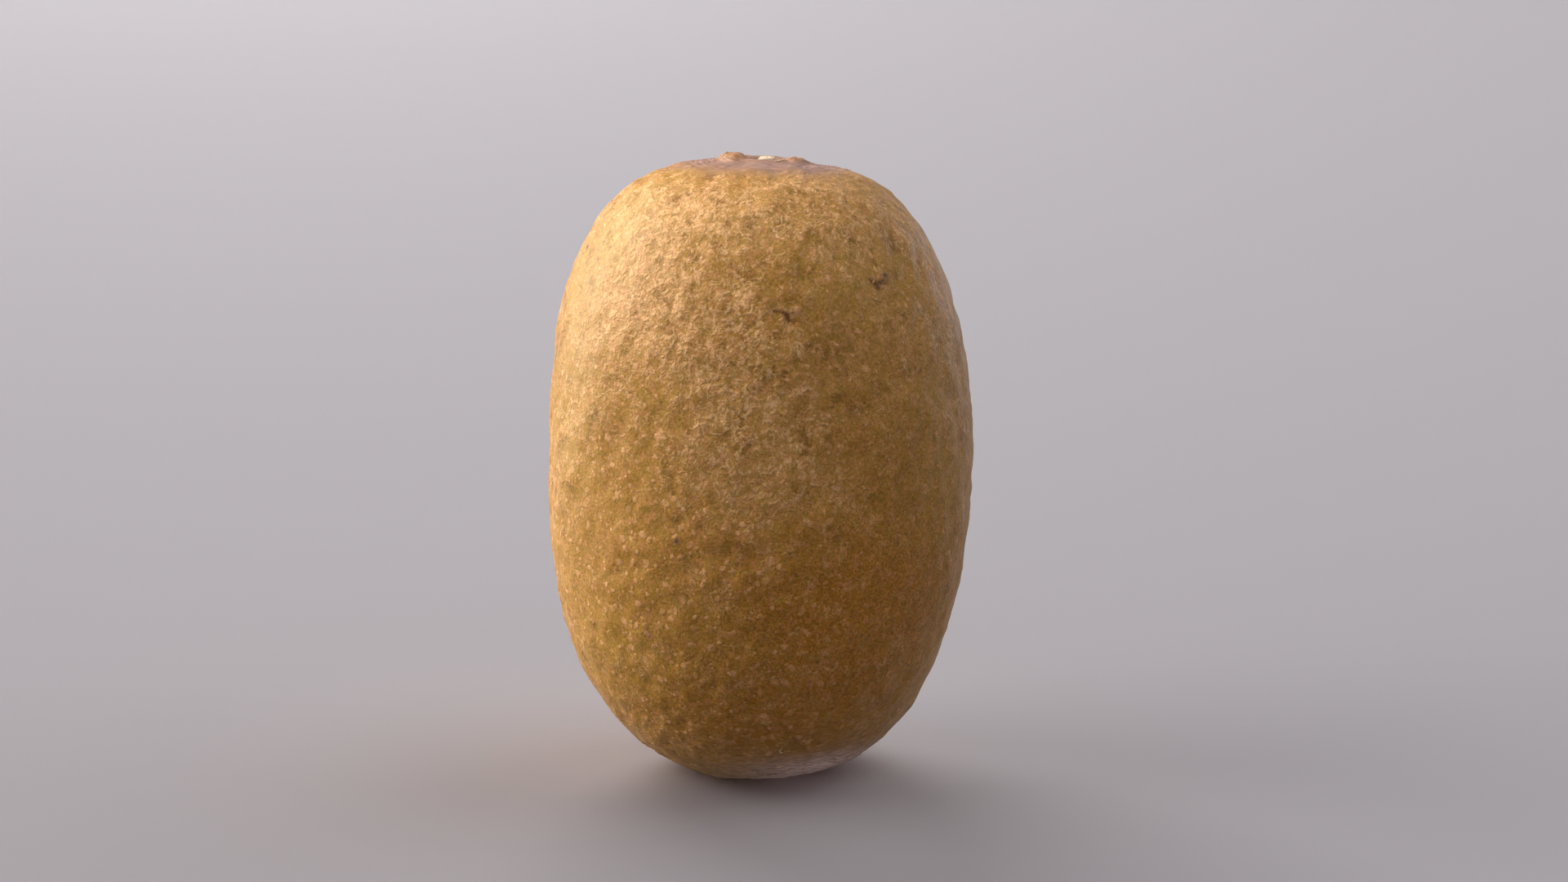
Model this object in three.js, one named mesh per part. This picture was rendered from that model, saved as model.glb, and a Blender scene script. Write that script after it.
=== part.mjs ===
// A gold kiwi fruit, picked, standing on its blossom end.
// Millimetres, +Z up; azimuths in degrees from +X towards +Y.
// The fruit grew as one piece, so it is one solid: a barrel of two half superellipses with a few soft swells,
// a knobbly collar of five sepal stumps round the stem scar on top, and underneath a flat foot
// with a shallow dimple that holds the crown of dried style stumps.
import * as THREE from "three";

// The barrel.
const RADIUS = 24.5; // half the width at the widest level
const DEPTH_RATIO = 0.96; // front to back against side to side
const WIDEST = 33.5; // height of the widest level above the foot
const LOWER = { height: 33.95, along: 2.1, across: 2.65 }; // half superellipse: reach and exponents
const UPPER = { height: 38.5, along: 2.73, across: 3.12 };
const SHOULDER_SLOPE = { x: -0.025, y: 0.03, power: 3 }; // the stem end leans to +X and towards -Y

// Soft swells of the flanks: the azimuth and height of each, its reach both ways, and how far it rises.
const SWELLS = [
  { azimuth: 0, height: 42, turn: 48, reach: 12.5, rise: 0.6 },
  { azimuth: 72, height: 24, turn: 40, reach: 14, rise: 0.35 },
  { azimuth: 118, height: 52, turn: 36, reach: 13, rise: 0.4 },
  { azimuth: 165, height: 20, turn: 30, reach: 12, rise: 0.45 },
  { azimuth: 232, height: 50, turn: 34, reach: 14, rise: 0.3 },
  { azimuth: 285, height: 24, turn: 42, reach: 14, rise: 0.2 },
];

// The stem end.
const STEM_CENTRE = { x: 1.0, power: 40 }; // the scar sits beside the barrel's axis
const COLLAR = { radius: 4.3, width: 1.25, rise: 0.26 }; // low corky ring
const STUMPS = [
  { azimuth: 213, radius: 4.6, turn: 20, width: 1.3, rise: 0.71 },
  { azimuth: 324, radius: 4.5, turn: 18, width: 1.25, rise: 0.36 },
  { azimuth: 33, radius: 4.2, turn: 19, width: 1.1, rise: 0.08 },
  { azimuth: 90, radius: 4.2, turn: 22, width: 1.2, rise: 0.07 },
  { azimuth: 140, radius: 4.4, turn: 24, width: 1.1, rise: 0.12 },
];
const DIP = { azimuth: 12, turn: 62, radius: 7, width: 4, depth: 0.45 }; // the skin is lower on one side
const CUP = { radius: 3.1, edge: 1.1, depth: 0.5 }; // hollow inside the collar
const PITH = { radius: 1.15, edge: 0.35, rise: 0.74 }; // stub of pale pith in the middle of the cup
const PUCKERS = { count: 11, from: 5.2, to: 11, rise: 0.07 }; // folds of skin drawn in towards the stem

// The blossom end.
const FOOT_CENTRE = { x: -0.6, power: 24 }; // the flat spot sits beside the barrel's axis
const DIMPLE = { radius: 3.0, depth: 0.9 };
const CROWN = { radius: 2.0, drop: 0.6, ridges: 9, ridge: 0.1 }; // style stumps, inside the dimple

// The spacing of the rings of faces: close at the two ends and wide on the flanks.
const COLUMNS = 64;
const FLANK_STEP = 2.9;
const STEM_RINGS = { reach: 8, step: 0.56 };
const FOOT_RINGS = { reach: 6.6, step: 0.62 };
const EASING = 7; // length over which the spacing widens
const WALK = 4000; // steps of the walk along the outline

const radians = THREE.MathUtils.degToRad;
const { clamp, smoothstep } = THREE.MathUtils;

// The bell curve of every swell and ring, 1 at the middle and 1/e at one width,
// and its flat-topped kind for the stumps.
const bell = (distance, width) => Math.exp(-((distance / width) ** 2));
const plateau = (distance, width) => Math.exp(-((distance / width) ** 4));

// The angle between two azimuths, in degrees, the short way round.
const between = (a, b) => Math.abs(((((a - b) % 360) + 540) % 360) - 180);

// The barrel's outline at a latitude from -90 degrees (blossom end) to 90 (stem end), as radius and height.
function outline(latitude) {
  const half = latitude < 0 ? LOWER : UPPER;
  const across = Math.max(0, Math.cos(latitude)) ** (2 / half.across);
  const along = Math.abs(Math.sin(latitude)) ** (2 / half.along);
  return new THREE.Vector2(RADIUS * across, WIDEST + Math.sign(latitude) * half.height * along);
}

// The wanted gap between rings of faces at a point of the outline.
function ringStep(point) {
  const end = point.y > WIDEST ? STEM_RINGS : FOOT_RINGS;
  const eased = clamp((point.x - end.reach) / EASING, 0, 1);
  return THREE.MathUtils.lerp(end.step, FLANK_STEP, eased);
}

// The outline's points from pole to pole, spaced by ringStep.
function rings() {
  const pole = (side) => new THREE.Vector2(0, outline((side * Math.PI) / 2).y);
  const points = [pole(-1)];
  let last = points[0];
  let walked = 0;
  for (let i = 1; i < WALK; i++) {
    const here = outline(Math.PI * (i / WALK - 0.5));
    walked += here.distanceTo(last) / ringStep(here);
    last = here;
    if (walked >= points.length) points.push(here);
  }
  return [...points, pole(1)];
}

// How far the flank stands proud of the plain barrel.
function swell(azimuth, height) {
  return SWELLS.reduce(
    (sum, s) => sum + s.rise * bell(between(azimuth, s.azimuth), s.turn) * bell(height - s.height, s.reach),
    0,
  );
}

// The stem end's relief at a distance and azimuth from the middle of the scar.
function stemRelief(distance, azimuth) {
  let rise = COLLAR.rise * bell(distance - COLLAR.radius, COLLAR.width);
  for (const s of STUMPS)
    rise += s.rise * plateau(between(azimuth, s.azimuth), s.turn) * plateau(distance - s.radius, s.width);
  rise -= DIP.depth * bell(between(azimuth, DIP.azimuth), DIP.turn) * bell(distance - DIP.radius, DIP.width);
  rise -= CUP.depth * (1 - smoothstep(distance, CUP.radius - CUP.edge, CUP.radius));
  rise += PITH.rise * (1 - smoothstep(distance, PITH.radius - PITH.edge, PITH.radius + PITH.edge));
  const along = clamp((distance - PUCKERS.from) / (PUCKERS.to - PUCKERS.from), 0, 1);
  const fold = Math.sin(Math.PI * along) * Math.cos(radians(PUCKERS.count * azimuth));
  return rise + PUCKERS.rise * fold;
}

// The blossom end's relief at a distance and azimuth from the middle of the foot: the dimple, less its crown.
function footRelief(distance, azimuth) {
  const dimple = DIMPLE.depth * (1 - smoothstep(distance, 0.45 * DIMPLE.radius, DIMPLE.radius));
  const inCrown = 1 - smoothstep(distance, 0.3 * CROWN.radius, CROWN.radius);
  const outer = smoothstep(distance, CROWN.radius / 6, CROWN.radius / 2);
  const ridge = CROWN.ridge * outer * Math.cos(radians(CROWN.ridges * azimuth));
  return dimple - inCrown * (CROWN.drop + ridge);
}

// Moves one point of the plain barrel, in place, to where it lies on the fruit.
function grow(point) {
  const distance = Math.hypot(point.x, point.y);
  const azimuth = (Math.atan2(point.y, point.x) * 180) / Math.PI;
  const height = point.z;
  const top = clamp((height - WIDEST) / UPPER.height, 0, 1);
  const low = clamp((WIDEST - height) / LOWER.height, 0, 1);
  const share = distance / RADIUS; // full on the flanks, none at the poles
  const out = 1 + (share * swell(azimuth, height)) / RADIUS;
  const stemSide = top ** STEM_CENTRE.power;
  const footSide = low ** FOOT_CENTRE.power;
  const shoulder = top ** SHOULDER_SLOPE.power;
  const lean = shoulder * (SHOULDER_SLOPE.x * point.x + SHOULDER_SLOPE.y * point.y);
  if (height > WIDEST) point.z += lean + stemRelief(distance, azimuth);
  else point.z = Math.max(0, height) + footRelief(distance, azimuth);
  point.x = point.x * out + STEM_CENTRE.x * stemSide + FOOT_CENTRE.x * footSide;
  point.y = point.y * out * DEPTH_RATIO;
}

// The fruit: the outline turned round the axis and every point grown into place,
// with the middle of its box then put over the origin.
function fruitGeometry() {
  const geometry = new THREE.LatheGeometry(rings(), COLUMNS).rotateX(Math.PI / 2);
  const positions = geometry.getAttribute("position");
  const point = new THREE.Vector3();
  for (let i = 0; i < positions.count; i++) {
    grow(point.fromBufferAttribute(positions, i));
    positions.setXYZ(i, point.x, point.y, point.z);
  }
  geometry.computeBoundingBox();
  const middle = geometry.boundingBox.getCenter(new THREE.Vector3());
  geometry.translate(-middle.x, -middle.y, 0);
  geometry.computeVertexNormals();
  return geometry;
}

const skin = new THREE.MeshStandardMaterial({ color: 0xa07a3e, roughness: 0.55, metalness: 0 });
const fruit = new THREE.Mesh(fruitGeometry(), skin);
fruit.name = "fruit";

const kiwi = new THREE.Group();
kiwi.add(fruit);

export default kiwi;
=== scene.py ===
"""The looks of a gold kiwi fruit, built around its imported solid.

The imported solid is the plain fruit. Here it is replaced by a finer skin grown from the same formula. That
skin gets its lenticels, rubbed fuzz, corky stem scar, dried styles and healed wounds.

Azimuths are in degrees from +X towards +Y. Lengths are in millimetres, turned to metres as a mesh is made.
"""

import math

import bpy
import numpy as np
from bpy.props import FloatProperty, FloatVectorProperty, IntProperty, PointerProperty
from bpy.types import Operator, Panel, PropertyGroup
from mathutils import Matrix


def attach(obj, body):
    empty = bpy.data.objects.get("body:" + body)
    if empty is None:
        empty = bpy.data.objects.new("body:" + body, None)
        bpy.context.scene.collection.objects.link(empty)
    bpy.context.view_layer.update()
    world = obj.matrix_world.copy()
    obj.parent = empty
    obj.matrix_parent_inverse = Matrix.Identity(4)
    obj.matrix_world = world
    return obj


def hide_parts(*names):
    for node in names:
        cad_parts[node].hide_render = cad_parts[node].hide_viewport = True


bl_info = {
    "name": "Gold Kiwi Fruit",
    "version": (1, 0, 0),
    "blender": (4, 5, 0),
    "location": "View3D > Sidebar > Kiwi Fruit",
    "description": "Builds the looks of a gold kiwi fruit around its packed solid",
    "category": "Add Mesh",
}

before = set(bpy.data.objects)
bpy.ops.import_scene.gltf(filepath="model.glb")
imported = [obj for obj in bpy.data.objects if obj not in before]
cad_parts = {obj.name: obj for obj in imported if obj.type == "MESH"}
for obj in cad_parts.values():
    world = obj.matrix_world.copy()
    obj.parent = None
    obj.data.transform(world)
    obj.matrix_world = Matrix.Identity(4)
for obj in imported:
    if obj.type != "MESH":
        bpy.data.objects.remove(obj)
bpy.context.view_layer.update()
MM = 0.001
TURN = 360.0
GOLDEN_ANGLE = TURN * (3 - math.sqrt(5)) / 2
SUNK = 0.03  # how deep the edge of a small thing lies under the skin
FIBRE_SUNK = 0.008  # and that of a fibre, so that most of its soft edge shows
DOME_SIDES = 8
SCAR_STEP = 0.075  # the step of a scar's own grid
SCAR_BED = 0.35  # how deep the skin is laid under the middle of a scar, whose own patch is the surface there

# The fruit's form, as its solid has it: a barrel of two half superellipses with soft swells.
RADIUS = 24.5
DEPTH_RATIO = 0.96
WIDEST = 33.5
LOWER = {"height": 33.95, "along": 2.1, "across": 2.65}
UPPER = {"height": 38.5, "along": 2.73, "across": 3.12}
SHOULDER_SLOPE = {"x": -0.025, "y": 0.03, "power": 3}
SWELLS = (  # azimuth, height, turn, reach, rise
    (0, 42, 48, 12.5, 0.6),
    (72, 24, 40, 14, 0.35),
    (118, 52, 36, 13, 0.4),
    (165, 20, 30, 12, 0.45),
    (232, 50, 34, 14, 0.3),
    (285, 24, 42, 14, 0.2),
)
STEM_CENTRE = {"x": 1.0, "power": 40}
COLLAR = {"radius": 4.3, "width": 1.25, "rise": 0.26}
STUMPS = (  # azimuth, radius, turn, width, rise
    (213, 4.6, 20, 1.3, 0.71),
    (324, 4.5, 18, 1.25, 0.36),
    (33, 4.2, 19, 1.1, 0.08),
    (90, 4.2, 22, 1.2, 0.07),
    (140, 4.4, 24, 1.1, 0.12),
)
DIP = {"azimuth": 12, "turn": 62, "radius": 7, "width": 4, "depth": 0.45}
CUP = {"radius": 3.1, "edge": 1.1, "depth": 0.5}
PITH = {"radius": 1.15, "edge": 0.35, "rise": 0.74}
PUCKERS = {"count": 11, "from": 5.2, "to": 11, "rise": 0.07}
FOOT_CENTRE = {"x": -0.6, "power": 24}
DIMPLE = {"radius": 3.0, "depth": 0.9}
CROWN = {"radius": 2.0, "drop": 0.6, "ridges": 9, "ridge": 0.1}

# The finer skin's grid, and its relief: size of the features, height, seed.
COLUMNS = 360
FLANK_STEP = 0.5
END_STEP = 0.26
END_REACH = 8.0
EASING = 7.0
RELIEF = ((7.0, 0.1, 11), (2.2, 0.07, 12), (1.0, 0.045, 13))
FOOT_FOLDS = {"step": 1.0, "from": 5.0, "to": 16.0, "rise": 0.05, "wander": 1.6}
FOOT_WRINKLES = {"step": 0.55, "from": 5.0, "to": 17.0, "rise": 0.04, "wander": 2.2}
STEM_FOLDS = {"step": 0.8, "from": 5.4, "to": 12.0, "rise": 0.03, "wander": 1.4}
CORK_BY_RISE = 1.8  # the share of cork on a stump for each millimetre that it rises, up to 1
COLLAR_CORK = 0.3
# The side of the foot where the drawn-in mauve and pale pink streaks are a painted sheen: azimuth, turn, and
# the distances from the axis over which it fades.
FOOT_PAINTED_SHEEN = {"azimuth": 302.0, "turn": 32.0, "from": 13.0, "to": 17.2}
FOOT_MIDDLE = {"from": 4.0, "to": 10.0, "share": 0.5}
STEM_SMOOTH = {"from": 7.2, "to": 12.4}
CORK_GRIT = {"size": 0.4, "rise": 0.035}

# The fuzz: how much of the skin it hides at least, and the clumps that it lies in: size, strength, seed.
FUZZ_SHARE = 0.4
CLUMPS = ((4.5, 0.1, 31), (1.6, 0.17, 32), (0.8, 0.13, 33))
POLEWARD = 1.56  # the latitude that no small thing goes past
LENTICEL = {"radius": 0.3, "spread": 0.38, "least": 0.12, "most": 0.6}
# Painted shade on the lenticels: on the side of the fruit turned from the lamps their paleness is taken
# down.
LENTICELS_IN_PAINTED_SHADE = (315, 32, 30, 22, 0.75)  # azimuth, turn, height, reach, how much of their paleness is lost
FIBRES = (  # name, setting for their number, seed, length, width, rise, bend, steps, chance
    ("curls", "curls", 51, 0.6, 0.28, 0.006, 2.0, 4, 0.18),
    ("flecks", "flecks", 52, 0.32, 0.32, 0.005, 1.2, 2, 1.25),
    ("wisps", "flecks", 53, 0.42, 0.28, 0.004, 2.4, 2, 1.25),
)
CLEARANCE = 1.1  # how far small things stay from a dark mark, in sizes of that mark


def linear(code):
    """A hex sRGB colour as linear red, green, blue and alpha."""
    srgb = [int(code[i : i + 2], 16) / 255 for i in (1, 3, 5)]
    return (*(c / 12.92 if c <= 0.04045 else ((c + 0.055) / 1.055) ** 2.4 for c in srgb), 1.0)


# The skin's formula
# ------------------------------------------------------------


def smooth(value, low, high):
    """0 below low, 1 above high, and a cubic ease between."""
    t = np.clip((value - low) / (high - low), 0, 1)
    return t * t * (3 - 2 * t)


def bell(distance, width, power=2):
    """1 at the middle and 1/e at one width; power 4 gives it a flat top."""
    return np.exp(-(np.abs(distance / width) ** power))


def between(a, b):
    """The angle between two azimuths, the short way round."""
    return np.abs((a - b + 1.5 * TURN) % TURN - TURN / 2)


def patches(places, azimuth, height):
    """The sum of soft round patches, each a bell in azimuth times a bell in height."""
    return sum(
        amount * bell(between(azimuth, at), turn) * bell(height - level, reach)
        for at, level, turn, reach, amount in places
    )


def unit(vectors):
    """Vectors brought to length 1."""
    return vectors / np.maximum(np.linalg.norm(vectors, axis=-1, keepdims=True), 1e-9)


def ripple(points, size, seed, waves=40):
    """A smooth random field with bumps about one size across.

    It is the sum of cosines of random direction, phase and wavelength, and lies mostly between -1 and 1.
    """
    rng = np.random.default_rng(seed)
    direction = unit(rng.normal(size=(waves, 3)))
    number = math.pi / size * rng.uniform(0.7, 1.3, waves)
    phase = rng.uniform(0, 2 * math.pi, waves)
    angle = points.reshape(-1, 3) @ (direction * number[:, None]).T + phase
    return (np.cos(angle).sum(1) / math.sqrt(waves)).reshape(points.shape[:-1])


def barrel(latitude):
    """The plain barrel's radius and height at a latitude from -pi/2, the blossom end, to pi/2, the stem end.

    Radius and height follow cos and sin of the latitude, each raised to two over its superellipse exponent.
    """
    low = latitude < 0
    across = np.where(low, LOWER["across"], UPPER["across"])
    along = np.where(low, LOWER["along"], UPPER["along"])
    height = np.where(low, LOWER["height"], UPPER["height"])
    cosine = np.maximum(0, np.cos(latitude))
    rise = np.sign(latitude) * height * np.abs(np.sin(latitude)) ** (2 / along)
    return RADIUS * cosine ** (2 / across), WIDEST + rise


WALK = np.linspace(-math.pi / 2, math.pi / 2, 20001)  # a fine walk along the outline, pole to pole
WALK_RADIUS, WALK_HEIGHT = barrel(WALK)


def ring_latitudes():
    """Latitudes of the grid's rings, pole to pole: close together at the ends and wider on the flanks."""
    eased = np.clip((WALK_RADIUS - END_REACH) / EASING, 0, 1)
    step = END_STEP + (FLANK_STEP - END_STEP) * eased
    run = np.hypot(np.diff(WALK_RADIUS), np.diff(WALK_HEIGHT)) / step[1:]
    walked = np.concatenate([[0], np.cumsum(run)])
    return np.interp(np.linspace(0, walked[-1], int(walked[-1])), walked, WALK)


def latitude_out(distance, stem):
    """The latitude at a distance from the axis, near the stem end or near the blossom end."""
    half = len(WALK) // 2
    if stem:
        return np.interp(distance, WALK_RADIUS[half:][::-1], WALK[half:][::-1])
    return np.interp(distance, WALK_RADIUS[:half], WALK[:half])


def latitude_at(height):
    """The latitude whose level on the plain barrel is at this height."""
    return np.interp(height, WALK_HEIGHT, WALK)


def stump(distance, azimuth, at, radius, turn, width):
    """One sepal stump's flat-topped bell, 1 at its middle."""
    return bell(between(azimuth, at), turn, 4) * bell(distance - radius, width, 4)


def stem_relief(distance, azimuth):
    """The stem end's rise.

    It has a low collar ring, stumps on it, a dip beside it, a cup inside, the pith stub, and puckers.
    """
    rise = COLLAR["rise"] * bell(distance - COLLAR["radius"], COLLAR["width"])
    for *place, height in STUMPS:
        rise = rise + height * stump(distance, azimuth, *place)
    dip = bell(between(azimuth, DIP["azimuth"]), DIP["turn"]) * bell(distance - DIP["radius"], DIP["width"])
    rise = rise - DIP["depth"] * dip
    rise = rise - CUP["depth"] * (1 - smooth(distance, CUP["radius"] - CUP["edge"], CUP["radius"]))
    stub = 1 - smooth(distance, PITH["radius"] - PITH["edge"], PITH["radius"] + PITH["edge"])
    rise = rise + PITH["rise"] * stub
    along = np.clip((distance - PUCKERS["from"]) / (PUCKERS["to"] - PUCKERS["from"]), 0, 1)
    fold = np.sin(math.pi * along) * np.cos(np.radians(PUCKERS["count"] * azimuth))
    return rise + PUCKERS["rise"] * fold


def foot_relief(distance, azimuth):
    """The blossom end's rise: a dimple, less the crown of style stumps in it."""
    dimple = DIMPLE["depth"] * (1 - smooth(distance, 0.45 * DIMPLE["radius"], DIMPLE["radius"]))
    in_crown = 1 - smooth(distance, 0.3 * CROWN["radius"], CROWN["radius"])
    outer = smooth(distance, CROWN["radius"] / 6, CROWN["radius"] / 2)
    ridge = CROWN["ridge"] * outer * np.cos(np.radians(CROWN["ridges"] * azimuth))
    return dimple - in_crown * (CROWN["drop"] + ridge)


def plain_skin(latitude, azimuth):
    """Points of the fruit's skin without its fine relief, as the solid has them, before they are centred."""
    radius, height = barrel(latitude)
    x = radius * np.cos(np.radians(azimuth))
    y = radius * np.sin(np.radians(azimuth))
    top = np.clip((height - WIDEST) / UPPER["height"], 0, 1)
    low = np.clip((WIDEST - height) / LOWER["height"], 0, 1)
    out = 1 + radius / RADIUS * patches(SWELLS, azimuth, height) / RADIUS
    lean = top ** SHOULDER_SLOPE["power"] * (SHOULDER_SLOPE["x"] * x + SHOULDER_SLOPE["y"] * y)
    upper_z = height + lean + stem_relief(radius, azimuth)
    lower_z = np.maximum(0, height) + foot_relief(radius, azimuth)
    stem_side = STEM_CENTRE["x"] * top ** STEM_CENTRE["power"]
    foot_side = FOOT_CENTRE["x"] * low ** FOOT_CENTRE["power"]
    z = np.where(height > WIDEST, upper_z, lower_z)
    return np.stack([x * out + stem_side + foot_side, y * out * DEPTH_RATIO, z + 0 * x], -1)


def skin_frame(latitude, azimuth, nudge=1e-4):
    """Centred skin points with the unit direction outwards there, from small steps round and along."""
    turn = math.degrees(nudge)
    east = plain_skin(latitude, azimuth + turn) - plain_skin(latitude, azimuth - turn)
    north = plain_skin(latitude + nudge, azimuth) - plain_skin(latitude - nudge, azimuth)
    return plain_skin(latitude, azimuth) - MIDDLE, unit(np.cross(east, north))


GRID_LATITUDES = ring_latitudes()
GRID_AZIMUTHS = np.arange(COLUMNS) * TURN / COLUMNS
GRID = plain_skin(GRID_LATITUDES[:, None], GRID_AZIMUTHS[None, :])
MIDDLE = (GRID.min((0, 1)) + GRID.max((0, 1))) / 2 * (1, 1, 0)


def fold_rings(folds, distance, points, seed):
    """Fine concentric folds between two distances from a pole, wandering with a random field."""
    middle = (folds["from"] + folds["to"]) / 2
    band = bell(distance - middle, (folds["to"] - folds["from"]) / 2, 4)
    wave = np.cos(2 * math.pi * (distance / folds["step"] + folds["wander"] * ripple(points, 4.0, seed)))
    return folds["rise"] * band * wave * (0.6 + 0.6 * ripple(points, 2.0, seed + 1))


def cork_share(distance, azimuth):
    """How corky the skin is: 1 on the sepal stumps, less on the collar between them, none elsewhere."""
    share = COLLAR_CORK * bell(distance - COLLAR["radius"], COLLAR["width"])
    for *place, rise in STUMPS:
        share = share + min(1, CORK_BY_RISE * rise) * stump(distance, azimuth, *place)
    return np.clip(share, 0, 1)


def fine_relief(points, latitude, azimuth):
    """The skin's fine relief outwards: undulation, pebbling, folds at both ends and grit on the cork."""
    distance, height = barrel(latitude)
    distance = distance + 0 * azimuth
    rise = sum(tall * ripple(points, size, seed) for size, tall, seed in RELIEF)
    rise = rise * smooth(distance, 1.0, 9.0)
    stem, foot = height > WIDEST, height < WIDEST
    rise = rise + foot * fold_rings(FOOT_FOLDS, distance, points, 21)
    rise = rise + foot * fold_rings(FOOT_WRINKLES, distance, points, 27)
    rise = rise + stem * fold_rings(STEM_FOLDS, distance, points, 23)
    grit = CORK_GRIT["rise"] * ripple(points, CORK_GRIT["size"], 25)
    rise = rise + stem * cork_share(distance, azimuth) * grit
    return rise


# Where things lie on the skin
# ------------------------------------------------------------

# The marks of the two largest scars: east, north, size, rise, wound, grey, pale. Pale marks sit on raised
# ridges and bumps beside the wounds, and their paleness is partly paler skin and partly a painted highlight.
RIGHT_MARKS = (
    (-1.2, 0.4, 0.26, -0.02, 0.6, 0, 0),
    (-0.9, 0.16, 0.3, -0.04, 0.9, 0, 0),
    (-0.52, -0.14, 0.34, -0.05, 1, 0, 0),
    (-0.3, -0.55, 0.34, -0.05, 1, 0, 0),
    (-0.2, -0.1, 0.36, -0.03, 0.7, 0.5, 0),
    (0.16, 0.02, 0.34, -0.04, 0.8, 0.1, 0),
    (0.48, 0.1, 0.28, -0.03, 0.6, 0.3, 0),
    (1.03, 0.76, 0.34, -0.04, 0.6, 1, 0),
    (0.66, 0.42, 0.24, 0, 0.2, 0.7, 0),
    (1.1, 0.28, 0.28, 0, 0.2, 0.5, 0),
    (0.36, -0.5, 0.22, 0.03, 0, 0.6, 0.3),
    (-0.7, 0.7, 0.28, 0.02, 0, 0, 0.4),
)
FRONT_MARKS = (
    (-1.38, 0.5, 0.26, -0.02, 0.6, 0.3, 0),
    (-1.14, 0.42, 0.27, -0.03, 0.75, 0.2, 0),
    (-0.88, 0.33, 0.27, -0.03, 0.75, 0, 0),
    (-0.56, 0.24, 0.26, -0.03, 0.7, 0, 0),
    (-0.26, 0.11, 0.28, -0.04, 0.8, 0.2, 0),
    (0, -0.07, 0.3, -0.05, 0.9, 0.2, 0),
    (0.2, -0.33, 0.34, -0.05, 0.9, 0, 0),
    (0.34, -0.6, 0.36, -0.03, 0.75, 0, 0),
    (0.76, -0.78, 0.42, -0.02, 0.5, 0, 0),
    (1.15, -0.92, 0.42, -0.02, 0.4, 0, 0),
    (-0.5, 0.56, 0.24, 0.03, 0, 0.3, 0.3),
    (0.02, 0.38, 0.24, 0.04, 0, 0.3, 0.4),
    (0.36, 0.16, 0.22, 0.04, 0, 0.2, 0.4),
    (0.62, 0.4, 0.24, 0.05, 0, 0, 0.6),
    (1.18, 0.56, 0.3, 0.06, 0, 0, 0.9),
    (1.25, 0.12, 0.3, 0.02, 0.1, 0.4, 0.2),
    (0.9, 0.1, 0.2, -0.02, 0.4, 0, 0),
)
SCARS = (  # azimuth, height, half its size, then its marks
    ((308.5, 59.4, 2.4), RIGHT_MARKS),
    ((278, 56.3, 2.5), FRONT_MARKS),
    ((249.2, 31.6, 0.9), ((0, 0, 0.32, -0.03, 0.8, 1, 0), (-0.1, 0.42, 0.24, 0.03, 0, 0, 0.6))),
    ((264.6, 47.8, 0.9), ((-0.3, 0, 0.26, -0.03, 0.5, 0.5, 0), (0.2, 0.1, 0.26, 0.04, 0, 0, 0.8))),
    ((195.9, 62.2, 0.8), ((0, 0, 0.3, -0.03, 0.8, 0, 0),)),
    ((211.3, 61.2, 0.8), ((0, 0, 0.26, -0.03, 0.8, 0, 0),)),
    ((199.2, 13.6, 0.9), ((0, 0, 0.34, -0.03, 0.8, 0, 0), (0.3, 0.2, 0.2, 0.03, 0, 0, 0.6))),
    ((320.6, 52.8, 0.9), ((0, 0, 0.4, 0.06, 0, 0, 0.3),)),
    ((317.3, 49.8, 0.9), ((0, 0, 0.35, 0.05, 0, 0, 0.3),)),
    ((61, 48, 1.4), ((0, 0, 0.5, -0.06, 0.9, 0.2, 0), (0.5, 0.3, 0.3, 0.04, 0, 0, 0.7))),
    ((128, 27, 1), ((0, 0, 0.35, -0.04, 0.8, 0.4, 0), (-0.3, 0.2, 0.2, 0.03, 0, 0, 0.6))),
)
THREADS = (  # azimuth, height, heading, bend, length: loose pale hairs
    (304.3, 58.0, -50, 0.9, 1.6),
    (277.6, 6.4, 20, 1.5, 1.0),
    (278.4, 6.3, -60, 0.5, 0.5),
    (278.6, 3.5, 15, 0.8, 0.9),
    (281.5, 71.9, 5, 0.3, 1.8),
    (70.0, 30.0, 40, -1.2, 1.1),
    (150.0, 45.0, -20, 1.0, 1.0),
)
FUZZY = (  # azimuth, height, turn, reach, amount: where the fuzz is thicker or thinner
    (240, 55.5, 14, 4.5, 0.32),
    (254, 51, 14, 5, 0.16),
    (267, 56, 9, 4, 0.26),
    (268, 46, 14, 6, 0.42),
    (260, 37, 17, 5, 0.32),
    (278, 37, 13, 6, 0.3),
    (272, 29, 10, 4.5, 0.22),
    (291, 38, 11, 6, 0.14),
    (235, 31, 12, 6, -0.16),
    (300, 57, 18, 5, -0.05),
    (318, 40, 14, 16, -0.1),
    (255, 19, 40, 8, -0.08),
    (286, 22, 26, 8, -0.16),
    (295, 10, 45, 6, -0.12),
    (310, 27, 26, 14, -0.3),
    (225, 20, 26, 12, -0.12),
    (236, 60.5, 13, 4.5, 0.3),
    (223, 58, 9, 5, 0.35),
    (248, 63, 10, 4, 0.2),
    (262, 54, 10, 6, 0.28),
    (266, 32, 18, 6, -0.38),
    (233, 32, 13, 9, -0.32),
    (270, 67, 200, 4.5, 0.5),
    (90, 67, 60, 4, -0.15),
    (60, 48, 30, 8, 0.25),
    (95, 36, 26, 8, 0.3),
    (140, 52, 28, 6, 0.28),
    (175, 38, 22, 9, 0.15),
    (20, 30, 26, 9, 0.2),
    (120, 16, 60, 7, -0.14),
    (30, 12, 40, 6, -0.14),
)
GREENISH = (  # azimuth, height, turn, reach, amount: where the skin is yellow-green
    (217, 65, 14, 5, 0.9),
    (208, 45, 12, 14, 0.4),
    (302, 61, 18, 5, 0.3),
    (225, 14, 22, 8, 0.35),
    (318, 26, 20, 14, 0.5),
    (40, 60, 40, 8, 0.4),
    (120, 18, 40, 9, 0.5),
)
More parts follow.
